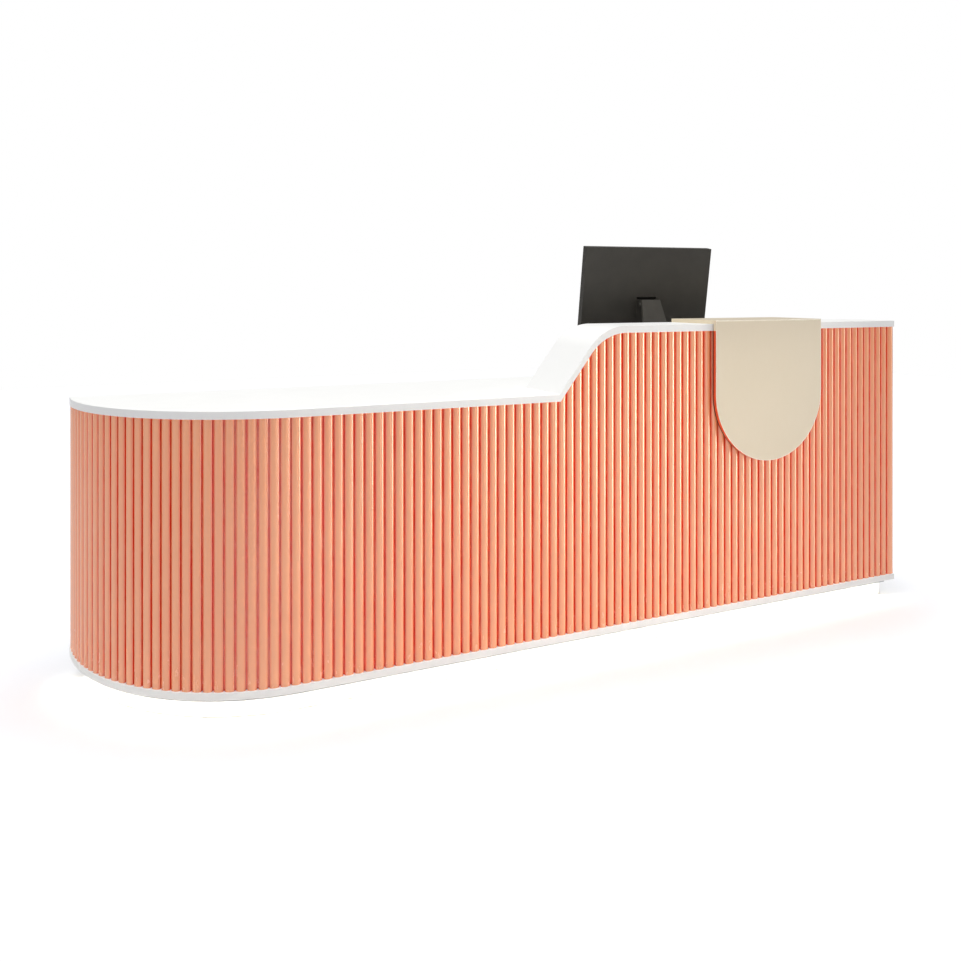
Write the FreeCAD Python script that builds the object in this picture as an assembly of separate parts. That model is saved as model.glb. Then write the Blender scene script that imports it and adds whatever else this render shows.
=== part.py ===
import FreeCAD, Part
import math
import os

# Shop checkout counter: a fluted front with one rounded end, a low service top, a ramp up to a
# raised customer ledge, an arch-shaped panel folded over the ledge, and a staff side with
# cupboard, open bays, knee space, drawers and a display.
# X runs along the counter, +Y points to the staff side, +Z is up, millimetres.
# The origin is the middle of the footprint's bounding box, on the floor.

# ---------------------------------------------------------------- driving dimensions
LENGTH = 2720.0
DEPTH = 570.0
LOW_TOP = 800.0
HIGH_TOP = 1000.0
TOP_T = 22.0
SLOPE_T = 16.0
PLINTH_H = 62.0
BASE_T = 20.0
CORNER_R = 540.0
RIM_PROUD = 1.5
LEDGE_DEPTH = 215.0

SLAT_T = 12.0
SLAT_W = 23.2
SLAT_CROWN = 5.0
SLATS_STRAIGHT = 76
SLATS_CORNER = 30
SUBSTRATE_T = 15.0
SLAT_PHASE = 4.0

RAMP_FOOT_X = -43.0
RAMP_ANGLE = 52.0
RAMP_R = 160.0

ARCH_T = 12.0
ARCH_GAP = 4.0
ARCH_X = 756.0
ARCH_HALF = 229.0
ARCH_BOTTOM = 543.0

BOARD = 18.0
CARCASS_BACK = 235.0
FRONT_GAP = 0.5
REVEAL = 3.0
PARTITION_X = (-868.0, -268.0, 132.0, 868.0)

# ---------------------------------------------------------------- derived places
LEFT = -LENGTH / 2
RIGHT = LENGTH / 2
FRONT = -DEPTH / 2
BACK = DEPTH / 2
ARCH_BACK = FRONT + ARCH_T
SLAT_FACE = ARCH_BACK + ARCH_GAP + RIM_PROUD
RIM_FRONT = SLAT_FACE - RIM_PROUD
WALL_BACK = SLAT_FACE + SLAT_T + SUBSTRATE_T
CENTRE_X = LEFT + RIM_PROUD + CORNER_R
CENTRE_Y = SLAT_FACE + CORNER_R
BODY_BOTTOM = PLINTH_H + BASE_T
LOW_UNDER = LOW_TOP - TOP_T
HIGH_UNDER = HIGH_TOP - TOP_T
LEDGE_BACK = RIM_FRONT + LEDGE_DEPTH
PITCH = (RIGHT - CENTRE_X) / SLATS_STRAIGHT
FACE_Y = CARCASS_BACK + FRONT_GAP
FACE_OUT = FACE_Y + BOARD

SLOPE = math.radians(RAMP_ANGLE)
RAMP_RISE = HIGH_UNDER - LOW_UNDER
RAMP_TANGENT = RAMP_R * math.tan(SLOPE / 2)
RAMP_TOP_X = RAMP_FOOT_X + RAMP_RISE / math.tan(SLOPE) + RAMP_TANGENT
RAMP_CENTRE_Z = HIGH_UNDER - RAMP_R
CAP_R = RAMP_R + (SLOPE_T - TOP_T * math.cos(SLOPE)) / (1 - math.cos(SLOPE))
CAP_CENTRE_Z = HIGH_TOP - CAP_R
CAP_TANGENT_X = RAMP_TOP_X - CAP_R * math.sin(SLOPE)
CAP_TANGENT_Z = CAP_CENTRE_Z + CAP_R * math.cos(SLOPE)
CAP_FOOT_X = CAP_TANGENT_X - (CAP_TANGENT_Z - LOW_TOP) / math.tan(SLOPE)

NODES = {}


# ---------------------------------------------------------------- helpers
def vec(x, y, z):
    return FreeCAD.Vector(x, y, z)


def box(x0, x1, y0, y1, z0, z1):
    return Part.makeBox(x1 - x0, y1 - y0, z1 - z0, vec(x0, y0, z0))


def rod(radius, start, direction, length):
    return Part.makeCylinder(radius, length, start, direction)


def add(name, *solids):
    """Store the solids of one node."""
    NODES[name] = list(solids)


def prism_xy(edges, z0, z1):
    """Extrude a closed outline drawn at height z0 up to z1."""
    return Part.Face(Part.Wire(edges)).extrude(vec(0, 0, z1 - z0))


def polygon(points):
    return Part.makePolygon(points + [points[0]]).Edges


def rounded_box(x0, x1, y0, y1, z0, z1, radius, axis):
    """A box whose four edges along the named axis are rounded."""
    solid = box(x0, x1, y0, y1, z0, z1)
    edges = []
    for edge in solid.Edges:
        direction = edge.tangentAt(edge.FirstParameter)
        if abs(getattr(direction, axis)) > 0.99:
            edges.append(edge)
    return solid.makeFillet(radius, edges)


def front_strip(offset0, offset1, z0, z1, x0, x1):
    """A straight strip that lies between two offsets behind the slat face."""
    return box(x0, x1, SLAT_FACE + offset0, SLAT_FACE + offset1, z0, z1)


def corner_ring(offset0, offset1, z0, z1, back_y):
    """The same strip taken round the rounded end and cut off at back_y."""
    outer = CORNER_R - offset0
    inner = CORNER_R - offset1
    base = vec(CENTRE_X, CENTRE_Y, z0)
    height = z1 - z0
    ring = Part.makeCylinder(outer, height, base).cut(Part.makeCylinder(inner, height, base))
    quarter = ring.common(box(CENTRE_X - outer - 1, CENTRE_X, CENTRE_Y - outer - 1, CENTRE_Y, z0, z1))
    if back_y > CENTRE_Y:
        tail = box(CENTRE_X - outer, CENTRE_X - inner, CENTRE_Y, back_y, z0, z1)
        return quarter.fuse(tail).removeSplitter()
    return quarter.common(box(CENTRE_X - outer - 1, CENTRE_X, CENTRE_Y - outer - 1, back_y, z0, z1))


def footprint(z0, z1, right_x, back_y, tab_y, tab_w):
    """Board with the counter's rounded front-left corner; a tab at the left reaches tab_y."""
    radius = CORNER_R + RIM_PROUD
    bend = vec(CENTRE_X - radius * math.sin(math.pi / 4), CENTRE_Y - radius * math.cos(math.pi / 4), z0)
    arc = Part.Arc(vec(CENTRE_X, RIM_FRONT, z0), bend, vec(LEFT, CENTRE_Y, z0)).toShape()
    points = [vec(LEFT, CENTRE_Y, z0), vec(LEFT, tab_y, z0)]
    if tab_y > back_y:
        points.append(vec(LEFT + tab_w, tab_y, z0))
        points.append(vec(LEFT + tab_w, back_y, z0))
    points.append(vec(right_x, back_y, z0))
    points.append(vec(right_x, RIM_FRONT, z0))
    points.append(vec(CENTRE_X, RIM_FRONT, z0))
    lines = [Part.makeLine(a, b) for a, b in zip(points, points[1:])]
    return prism_xy([arc] + lines, z0, z1)


def round_top_edges(solid, top_z, radius, right_x):
    """Ease the upper edges of a top, except where it butts against its neighbour."""
    edges = []
    for edge in solid.Edges:
        bounds = edge.BoundBox
        if bounds.ZMin < top_z - 0.01:
            continue
        if bounds.XMin > right_x - 0.01:
            continue
        edges.append(edge)
    return solid.makeFillet(radius, edges)


# ---------------------------------------------------------------- plinth and base
PLINTH_INSET = 39.0
PLINTH_CLEAR = 2.0
KNEE_X0 = PARTITION_X[2] + BOARD
KNEE_X1 = PARTITION_X[3]
KNEE_DECK_BACK = -90.0
LED_INSET = 9.0
LED_W = 16.0
LED_H = 8.0
LED_WALL = 1.5


def make_plinth():
    inner = PLINTH_INSET + BOARD
    x_end = RIGHT - 30
    back_cut = CARCASS_BACK - 10
    add("plinth_front", front_strip(PLINTH_INSET, inner, PLINTH_CLEAR, PLINTH_H, CENTRE_X, x_end))
    add("plinth_corner", corner_ring(PLINTH_INSET, inner, PLINTH_CLEAR, PLINTH_H, back_cut))
    rail_y = CARCASS_BACK - 40
    front_y = SLAT_FACE + inner
    rails = [box(-1280, KNEE_X0 - BOARD, rail_y, rail_y + BOARD, PLINTH_CLEAR, PLINTH_H)]
    rails.append(box(KNEE_X1 + BOARD, x_end, rail_y, rail_y + BOARD, PLINTH_CLEAR, PLINTH_H))
    deck_rail = KNEE_DECK_BACK - BOARD
    rails.append(box(KNEE_X0, KNEE_X1, deck_rail, KNEE_DECK_BACK, PLINTH_CLEAR, PLINTH_H))
    for x in (CENTRE_X + 100, KNEE_X0 - BOARD, KNEE_X1, x_end - BOARD):
        reach = rail_y + BOARD if x in (KNEE_X0 - BOARD, KNEE_X1) else rail_y
        rails.append(box(x, x + BOARD, front_y, reach, PLINTH_CLEAR, PLINTH_H))
    add("plinth_rails", *rails)


def make_feet():
    pad_r = 22.0
    pad_h = 6.0
    stem_r = 9.0
    flange_h = 10.0
    places = [(-1040, -60), (-1130, 165), (-660, 150), (-660, -150), (-300, 150), (-100, -150)]
    places += [(0, 150), (480, -150), (930, -150), (930, 150), (1270, -150), (1270, 150)]
    feet = []
    for x, y in places:
        pad = rod(pad_r, vec(x, y, 0), vec(0, 0, 1), pad_h)
        stem = rod(stem_r, vec(x, y, pad_h), vec(0, 0, 1), PLINTH_H - flange_h - pad_h)
        flange = rod(pad_r, vec(x, y, PLINTH_H - flange_h), vec(0, 0, 1), flange_h)
        feet.append(pad.fuse([stem, flange]).removeSplitter())
    add("levelling_feet", *feet)


def make_base_board():
    tab = RIM_PROUD + SLAT_T + SUBSTRATE_T
    board = footprint(PLINTH_H, BODY_BOTTOM, RIGHT, CARCASS_BACK, BACK, tab)
    knee = box(KNEE_X0, KNEE_X1, KNEE_DECK_BACK, CARCASS_BACK + 1, PLINTH_H - 1, BODY_BOTTOM + 1)
    add("base_board", board.cut(knee))


def make_led_strip():
    z0 = PLINTH_H - LED_H
    outer = LED_INSET + LED_W
    x_end = RIGHT - 40
    back_cut = CARCASS_BACK - 10

    def run(o0, o1, bottom, top):
        strip = front_strip(o0, o1, bottom, top, CENTRE_X, x_end)
        return strip.fuse(corner_ring(o0, o1, bottom, top, back_cut)).removeSplitter()

    body = run(LED_INSET, outer, z0, PLINTH_H)
    slot = run(LED_INSET + LED_WALL, outer - LED_WALL, z0, PLINTH_H - LED_WALL)
    add("led_channel", body.cut(slot))
    lens = run(LED_INSET + LED_WALL, outer - LED_WALL, z0, z0 + 2.0)
    add("led_diffuser", lens)


# ---------------------------------------------------------------- fluted front
def wall_region(y0, y1, x0):
    """The upright front from the base board up to the underside of tops, ramp and ledge."""
    foot_z = LOW_UNDER
    slope_x = RAMP_TOP_X - RAMP_R * math.sin(SLOPE)
    slope_z = RAMP_CENTRE_Z + RAMP_R * math.cos(SLOPE)
    half = SLOPE / 2
    bend = vec(RAMP_TOP_X - RAMP_R * math.sin(half), y0, RAMP_CENTRE_Z + RAMP_R * math.cos(half))
    arc = Part.Arc(vec(slope_x, y0, slope_z), bend, vec(RAMP_TOP_X, y0, HIGH_UNDER)).toShape()
    points = [vec(RAMP_TOP_X, y0, HIGH_UNDER), vec(RIGHT, y0, HIGH_UNDER), vec(RIGHT, y0, BODY_BOTTOM)]
    points += [vec(x0, y0, BODY_BOTTOM), vec(x0, y0, foot_z), vec(RAMP_FOOT_X, y0, foot_z)]
    points.append(vec(slope_x, y0, slope_z))
    lines = [Part.makeLine(a, b) for a, b in zip(points, points[1:])]
    return Part.Face(Part.Wire(Part.sortEdges([arc] + lines)[0])).extrude(vec(0, y1 - y0, 0))


def slat_blank(width, height):
    """One batten, its crowned face touching y = 0, centred on x = 0."""
    half = width / 2
    a = vec(-half, SLAT_T, 0)
    b = vec(-half, SLAT_CROWN, 0)
    c = vec(half, SLAT_CROWN, 0)
    d = vec(half, SLAT_T, 0)
    edges = [Part.makeLine(a, b)]
    edges.append(Part.Arc(b, vec(0, 0, 0), c).toShape())
    edges.append(Part.makeLine(c, d))
    edges.append(Part.makeLine(d, a))
    return prism_xy(edges, 0, height)


def make_substrates():
    add("front_substrate", wall_region(SLAT_FACE + SLAT_T, WALL_BACK, CENTRE_X))
    ring = corner_ring(SLAT_T, SLAT_T + SUBSTRATE_T, BODY_BOTTOM, LOW_UNDER, BACK)
    add("corner_substrate", ring)


def make_slats():
    low_blank = slat_blank(SLAT_W, LOW_UNDER - BODY_BOTTOM)
    high_blank = slat_blank(SLAT_W, HIGH_UNDER - BODY_BOTTOM)
    envelope = wall_region(SLAT_FACE - 1, WALL_BACK, CENTRE_X - PITCH)
    low = []
    ramp = []
    high = []
    for index in range(SLATS_STRAIGHT - 1):
        x = CENTRE_X - SLAT_PHASE + (index + 0.5) * PITCH
        place = vec(x, SLAT_FACE, BODY_BOTTOM)
        if x + SLAT_W / 2 < RAMP_FOOT_X:
            slat = low_blank.copy()
            slat.translate(place)
            low.append(slat)
        elif x - SLAT_W / 2 > RAMP_TOP_X:
            slat = high_blank.copy()
            slat.translate(place)
            high.append(slat)
        else:
            slat = high_blank.copy()
            slat.translate(place)
            ramp.append(slat.common(envelope))
    # The last batten is wider, so that it ends flush with the counter's end.
    last_x0 = CENTRE_X - SLAT_PHASE + (SLATS_STRAIGHT - 0.5) * PITCH - SLAT_W / 2
    last = slat_blank(RIGHT - last_x0, HIGH_UNDER - BODY_BOTTOM)
    last.translate(vec((last_x0 + RIGHT) / 2, SLAT_FACE, BODY_BOTTOM))
    high.append(last)
    add("slats_low", *low)
    add("slats_ramp", *ramp)
    add("slats_high", *high)

    corner = []
    step = 90.0 / SLATS_CORNER
    first = math.degrees(SLAT_PHASE / CORNER_R) + step / 2
    for index in range(SLATS_CORNER):
        slat = low_blank.copy()
        slat.translate(vec(CENTRE_X, SLAT_FACE, BODY_BOTTOM))
        slat.rotate(vec(CENTRE_X, CENTRE_Y, 0), vec(0, 0, 1), -(first + index * step))
        corner.append(slat)
    add("slats_corner", *corner)


# ---------------------------------------------------------------- tops, ramp and ledge
EASE = 3.0
GROMMET_X = 760.0
GROMMET_Y = 0.0
GROMMET_HOLE = 30.0
GROMMET_BORE = 27.0


def make_tops():
    low = footprint(LOW_UNDER, LOW_TOP, CAP_FOOT_X, BACK, BACK, 0)
    add("worktop_low", round_top_edges(low, LOW_TOP, EASE, CAP_FOOT_X))
    staff = box(CAP_FOOT_X, RIGHT, WALL_BACK, BACK, LOW_UNDER, LOW_TOP)
    hole = rod(GROMMET_HOLE, vec(GROMMET_X, GROMMET_Y, LOW_UNDER - 1), vec(0, 0, 1), TOP_T + 2)
    add("worktop_staff", staff.cut(hole))


def ramp_profile(y):
    """Side outline of the ramp cap, which is thinner on the slope than on the level."""
    half = SLOPE / 2
    under_x = RAMP_TOP_X - RAMP_R * math.sin(SLOPE)
    under_z = RAMP_CENTRE_Z + RAMP_R * math.cos(SLOPE)
    top_mid = vec(RAMP_TOP_X - CAP_R * math.sin(half), y, CAP_CENTRE_Z + CAP_R * math.cos(half))
    low_mid = vec(RAMP_TOP_X - RAMP_R * math.sin(half), y, RAMP_CENTRE_Z + RAMP_R * math.cos(half))
    top_start = vec(CAP_TANGENT_X, y, CAP_TANGENT_Z)
    top_end = vec(RAMP_TOP_X, y, HIGH_TOP)
    low_start = vec(RAMP_TOP_X, y, HIGH_UNDER)
    low_end = vec(under_x, y, under_z)
    edges = [Part.makeLine(vec(CAP_FOOT_X, y, LOW_TOP), top_start)]
    edges.append(Part.Arc(top_start, top_mid, top_end).toShape())
    edges.append(Part.makeLine(top_end, low_start))
    edges.append(Part.Arc(low_start, low_mid, low_end).toShape())
    edges.append(Part.makeLine(low_end, vec(RAMP_FOOT_X, y, LOW_UNDER)))
    edges.append(Part.makeLine(vec(RAMP_FOOT_X, y, LOW_UNDER), vec(CAP_FOOT_X, y, LOW_UNDER)))
    edges.append(Part.makeLine(vec(CAP_FOOT_X, y, LOW_UNDER), vec(CAP_FOOT_X, y, LOW_TOP)))
    return edges


def make_ledge():
    blank = Part.Face(Part.Wire(ramp_profile(RIM_FRONT))).extrude(vec(0, LEDGE_DEPTH, 0))
    seat = box(CAP_FOOT_X - 1, RAMP_TOP_X + 1, WALL_BACK, LEDGE_BACK + 1, LOW_UNDER - 1, LOW_TOP)
    add("ramp_cap", blank.cut(seat))
    ledge = box(RAMP_TOP_X, RIGHT, RIM_FRONT, LEDGE_BACK, HIGH_UNDER, HIGH_TOP)
    add("ledge_top", ledge)
    divider_back = LEDGE_BACK - 2
    region = wall_region(divider_back - BOARD, divider_back, CENTRE_X)
    cheek = region.common(box(RAMP_FOOT_X - 5, RAMP_TOP_X, WALL_BACK, BACK, LOW_TOP, HIGH_UNDER))
    add("ramp_cheek", cheek)
    span = RIGHT - BOARD - (RAMP_TOP_X + BOARD)
    bay = (span - 2 * BOARD) / 3
    boards = []
    for index in range(4):
        x = RAMP_TOP_X + index * (bay + BOARD)
        boards.append(box(x, x + BOARD, WALL_BACK, divider_back, LOW_TOP, HIGH_UNDER))
    add("ledge_dividers", *boards)


def make_arch():
    x0 = ARCH_X - ARCH_HALF
    x1 = ARCH_X + ARCH_HALF
    top = HIGH_TOP + ARCH_T
    centre_z = ARCH_BOTTOM + ARCH_HALF
    points = [vec(x0, FRONT, centre_z), vec(x0, FRONT, top), vec(x1, FRONT, top), vec(x1, FRONT, centre_z)]
    arc = Part.Arc(points[3], vec(ARCH_X, FRONT, ARCH_BOTTOM), points[0]).toShape()
    lines = [Part.makeLine(a, b) for a, b in zip(points, points[1:])]
    panel = Part.Face(Part.Wire(lines + [arc])).extrude(vec(0, ARCH_T, 0))
    mitre = [vec(x0 - 1, FRONT, top), vec(x0 - 1, ARCH_BACK, top), vec(x0 - 1, ARCH_BACK, HIGH_TOP)]
    wedge = Part.Face(Part.Wire(polygon(mitre))).extrude(vec(x1 - x0 + 2, 0, 0))
    add("arch_front_panel", panel.cut(wedge))
    side = [vec(x0, FRONT, top), vec(x0, LEDGE_BACK, top)]
    side += [vec(x0, LEDGE_BACK, HIGH_TOP), vec(x0, ARCH_BACK, HIGH_TOP)]
    add("arch_top_board", Part.Face(Part.Wire(polygon(side))).extrude(vec(x1 - x0, 0, 0)))
    pads = []
    for x in (ARCH_X - 100, ARCH_X + 100):
        pads.append(rod(9.0, vec(x, ARCH_BACK, ARCH_BOTTOM + 90), vec(0, 1, 0), SLAT_FACE - ARCH_BACK))
    add("arch_spacers", *pads)


def make_grommet():
    flange = rod(36.0, vec(GROMMET_X, GROMMET_Y, LOW_TOP), vec(0, 0, 1), 2.5)
    sleeve = rod(GROMMET_HOLE - 0.1, vec(GROMMET_X, GROMMET_Y, LOW_UNDER), vec(0, 0, 1), TOP_T)
    bore = rod(GROMMET_BORE, vec(GROMMET_X, GROMMET_Y, LOW_UNDER - 1), vec(0, 0, 1), TOP_T + 5)
    add("cable_grommet", flange.fuse(sleeve).cut(bore).removeSplitter())


# ---------------------------------------------------------------- carcass and shelves
PIN_R = 2.5
PIN_DEPTH = 10.0
PIN_ROWS = (-150.0, 160.0)
PIN_PITCH = 64.0
PIN_LOWEST = 248.0
PIN_COUNT = 7
SHELF_PIN_Z = PIN_LOWEST + 3 * PIN_PITCH
SHELF_Z = 420.0


def pin_holes(face_x, direction):
    holes = []
    for y in PIN_ROWS:
        for index in range(PIN_COUNT):
            start = vec(face_x, y, PIN_LOWEST + index * PIN_PITCH)
            holes.append(rod(PIN_R + 0.1, start, vec(direction, 0, 0), PIN_DEPTH))
    return holes


def make_carcass():
    for index, x in enumerate(PARTITION_X):
        front_y = WALL_BACK + 4 if index == 0 else WALL_BACK
        board = box(x, x + BOARD, front_y, CARCASS_BACK, BODY_BOTTOM, LOW_UNDER)
        if index == 0:
            board = board.cut(pin_holes(x + BOARD, -1))
        if index == 1:
            board = board.cut(pin_holes(x, 1))
        add("partition_%d" % (index + 1), board)
    add("end_panel_right", box(RIGHT - BOARD, RIGHT, WALL_BACK, CARCASS_BACK, BODY_BOTTOM, LOW_UNDER))


def make_shelves():
    inner = CORNER_R - SLAT_T - SUBSTRATE_T - 0.3
    disc = Part.makeCylinder(inner, BOARD, vec(CENTRE_X, CENTRE_Y, SHELF_Z))
    clip = box(CENTRE_X - inner, PARTITION_X[0], CENTRE_Y - inner, CARCASS_BACK - 10, SHELF_Z, SHELF_Z + BOARD)
    add("corner_shelf", disc.common(clip))
    x0 = PARTITION_X[1] + BOARD
    add("bay_shelf", box(x0, PARTITION_X[2], WALL_BACK, CARCASS_BACK - 10, SHELF_Z, SHELF_Z + BOARD))
    left = PARTITION_X[0] + BOARD + 1
    right = PARTITION_X[1] - 1
    shelf_z = SHELF_PIN_Z + PIN_R
    add("cupboard_shelf", box(left, right, WALL_BACK + 8, CARCASS_BACK - 12, shelf_z, shelf_z + BOARD))
    pins = []
    for y in PIN_ROWS:
        hole_left = vec(PARTITION_X[0] + BOARD - PIN_DEPTH + 1, y, SHELF_PIN_Z)
        pins.append(rod(PIN_R, hole_left, vec(1, 0, 0), PIN_DEPTH + 8))
        hole_right = vec(PARTITION_X[1] + PIN_DEPTH - 1, y, SHELF_PIN_Z)
        pins.append(rod(PIN_R, hole_right, vec(-1, 0, 0), PIN_DEPTH + 8))
    add("shelf_pins", *pins)


def angle_bracket(x, side, y):
    """Steel angle under the top: side is +1 when it stands right of its board, -1 when left."""
    leg = 30.0
    thick = 3.0
    width = 40.0
    far = x + side * leg
    lo, hi = min(x, far), max(x, far)
    web = x + side * thick
    flat = box(lo, hi, y, y + width, LOW_UNDER - thick, LOW_UNDER)
    upright = box(min(x, web), max(x, web), y, y + width, LOW_UNDER - leg, LOW_UNDER)
    head_a = rod(4.0, vec(x + side * 19, y + width / 2, LOW_UNDER - thick - 2), vec(0, 0, 1), 3.0)
    head_b = rod(4.0, vec(web - side, y + width / 2, LOW_UNDER - 19), vec(side, 0, 0), 3.0)
    return flat.fuse([upright, head_a, head_b]).removeSplitter()


LOCK_Z = 754.0
LOCK_X = 1115.0
CAM_REACH = 18.0


def make_brackets():
    parts = []
    for y in (-170.0, 120.0):
        parts.append(angle_bracket(PARTITION_X[0], -1, y))
        parts.append(angle_bracket(PARTITION_X[1] + BOARD, 1, y))
        parts.append(angle_bracket(PARTITION_X[2], -1, y))
        parts.append(angle_bracket(PARTITION_X[3], -1, y))
    strike_lip = box(LOCK_X - 20, LOCK_X + 20, 227, 229, LOW_UNDER - 14, LOW_UNDER)
    strike_foot = box(LOCK_X - 20, LOCK_X + 20, 205, 229, LOW_UNDER - 2, LOW_UNDER)
    parts.append(strike_lip.fuse(strike_foot).removeSplitter())
    add("fixing_brackets", *parts)


# ---------------------------------------------------------------- doors
DOOR_Z0 = BODY_BOTTOM + REVEAL
DOOR_Z1 = LOW_UNDER - REVEAL
DOOR_LEFT_X0 = PARTITION_X[0] + 1
DOOR_RIGHT_X1 = PARTITION_X[1] + BOARD - 1
DOOR_MEET = (DOOR_LEFT_X0 + DOOR_RIGHT_X1) / 2
HINGE_OUT = 3.0
HINGE_LEFT_X = PARTITION_X[0] - HINGE_OUT
HINGE_RIGHT_X = PARTITION_X[1] + BOARD + HINGE_OUT
HINGE_LEAF = 1.5
HINGE_Y = FACE_OUT + HINGE_LEAF / 2
HINGE_Z = (190.0, 640.0)
KNUCKLE_R = 3.0
KNUCKLE_H = 16.0
KNUCKLE_GAP = 0.5
PIN_RADIUS = 1.5
PIN_CLEAR = 0.05


def door_leaf(axis_x, side, z):
    """Middle knuckle with the leaf screwed to the door's outer face."""
    z0 = z + KNUCKLE_H + KNUCKLE_GAP
    far = axis_x + side * 26
    plate_near = axis_x + side * 2.2
    plate = box(min(plate_near, far), max(plate_near, far), FACE_OUT, FACE_OUT + HINGE_LEAF, z0, z0 + KNUCKLE_H)
    knuckle = rod(KNUCKLE_R, vec(axis_x, HINGE_Y, z0), vec(0, 0, 1), KNUCKLE_H)
    bore = rod(PIN_RADIUS + PIN_CLEAR, vec(axis_x, HINGE_Y, z0 - 1), vec(0, 0, 1), KNUCKLE_H + 2)
    return plate.fuse(knuckle).cut(bore).removeSplitter()


def frame_leaf(axis_x, side, z):
    """Outer knuckles and pin, with the leaf screwed to the partition's side."""
    total = 3 * KNUCKLE_H + 2 * KNUCKLE_GAP
    face_x = axis_x + side * HINGE_OUT
    inner_x = face_x - side * HINGE_LEAF
    plate = box(min(face_x, inner_x), max(face_x, inner_x), 200, CARCASS_BACK - 1, z, z + total)
    solid = plate
    for index in (0, 2):
        z0 = z + index * (KNUCKLE_H + KNUCKLE_GAP)
        arm = box(min(face_x, inner_x), max(face_x, inner_x), CARCASS_BACK - 2, HINGE_Y, z0, z0 + KNUCKLE_H)
        knuckle = rod(KNUCKLE_R, vec(axis_x, HINGE_Y, z0), vec(0, 0, 1), KNUCKLE_H)
        solid = solid.fuse([arm, knuckle])
    pin = rod(PIN_RADIUS, vec(axis_x, HINGE_Y, z), vec(0, 0, 1), total)
    return solid.fuse(pin).removeSplitter()


HANDLE_OUT = 21.0
HANDLE_BAR_R = 5.0
HANDLE_POST_R = 4.0
HANDLE_SPACING = 128.0


def bar_handle(x, z, vertical):
    """Straight bar pull on two posts."""
    half = HANDLE_SPACING / 2
    bar_y = FACE_OUT + HANDLE_OUT
    over = 16.0
    along = vec(0, 0, 1) if vertical else vec(1, 0, 0)
    start = vec(x, bar_y, z) - along * (half + over)
    bar = rod(HANDLE_BAR_R, start, along, HANDLE_SPACING + 2 * over)
    posts = []
    for sign in (-1, 1):
        foot = vec(x, FACE_OUT, z) + along * (sign * half)
        posts.append(rod(HANDLE_POST_R, foot, vec(0, 1, 0), HANDLE_OUT))
    return bar.fuse(posts).removeSplitter()


def make_doors():
    half_gap = REVEAL / 2
    left = box(DOOR_LEFT_X0, DOOR_MEET - half_gap, FACE_Y, FACE_OUT, DOOR_Z0, DOOR_Z1)
    right = box(DOOR_MEET + half_gap, DOOR_RIGHT_X1, FACE_Y, FACE_OUT, DOOR_Z0, DOOR_Z1)
    add("door_left", left)
    add("door_right", right)
    add("door_handle_left", bar_handle(DOOR_MEET - 38, 630, True))
    add("door_handle_right", bar_handle(DOOR_MEET + 38, 630, True))
    add("door_hinges_left", *[door_leaf(HINGE_LEFT_X, 1, z) for z in HINGE_Z])
    add("door_hinges_right", *[door_leaf(HINGE_RIGHT_X, -1, z) for z in HINGE_Z])
    frames = [frame_leaf(HINGE_LEFT_X, 1, z) for z in HINGE_Z]
    frames += [frame_leaf(HINGE_RIGHT_X, -1, z) for z in HINGE_Z]
    add("hinge_frames", *frames)


# ---------------------------------------------------------------- drawers and keyboard tray
DRAWER_X0 = PARTITION_X[3] + BOARD
DRAWER_X1 = RIGHT - BOARD
RUNNER_GAP = 13.0
BOX_WALL = 12.0
BOX_FLOOR = 8.0
BOX_LENGTH = 430.0
RAIL_OUT = 9.0
RAIL_HALF = 5.0
CHANNEL_WALL = 2.0
CHANNEL_HALF = 8.0
FRONT_SPLITS = (DOOR_Z0, 396.5, 619.5, DOOR_Z1 + REVEAL / 2)
BOX_HEIGHTS = ((102.0, 322.0), (416.0, 566.0), (636.0, 736.0))
TRAY_TOP = 700.0
TRAY_Y0 = -20.0
TRAY_Y1 = 228.0
TRAY_RAIL_Z = TRAY_TOP - BOARD / 2


def side_rails(x0, x1, y0, y1, z):
    left = box(x0 - RAIL_OUT, x0, y0, y1, z - RAIL_HALF, z + RAIL_HALF)
    right = box(x1, x1 + RAIL_OUT, y0, y1, z - RAIL_HALF, z + RAIL_HALF)
    return [left, right]


def drawer_box(z0, z1):
    x0 = DRAWER_X0 + RUNNER_GAP
    x1 = DRAWER_X1 - RUNNER_GAP
    y1 = CARCASS_BACK + FRONT_GAP
    y0 = y1 - BOX_LENGTH
    outer = box(x0, x1, y0, y1, z0, z1)
    hollow = box(x0 + BOX_WALL, x1 - BOX_WALL, y0 + BOX_WALL, y1 - BOX_WALL, z0 + BOX_FLOOR, z1 + 1)
    rails = side_rails(x0, x1, y0, y1 - 8, z0 + 30)
    return outer.cut(hollow).fuse(rails).removeSplitter()


def channel(x_web, side, y0, y1, z):
    """C-shaped runner fixed to a board at x_web and open towards side."""
    reach = x_web + side * (RUNNER_GAP - 1.0)
    lo, hi = min(x_web, reach), max(x_web, reach)
    outer = box(lo, hi, y0, y1, z - CHANNEL_HALF, z + CHANNEL_HALF)
    inner_web = x_web + side * CHANNEL_WALL
    lo, hi = min(inner_web, reach + side), max(inner_web, reach + side)
    half = CHANNEL_HALF - CHANNEL_WALL
    return outer.cut(box(lo, hi, y0 - 1, y1 + 1, z - half, z + half))


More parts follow.
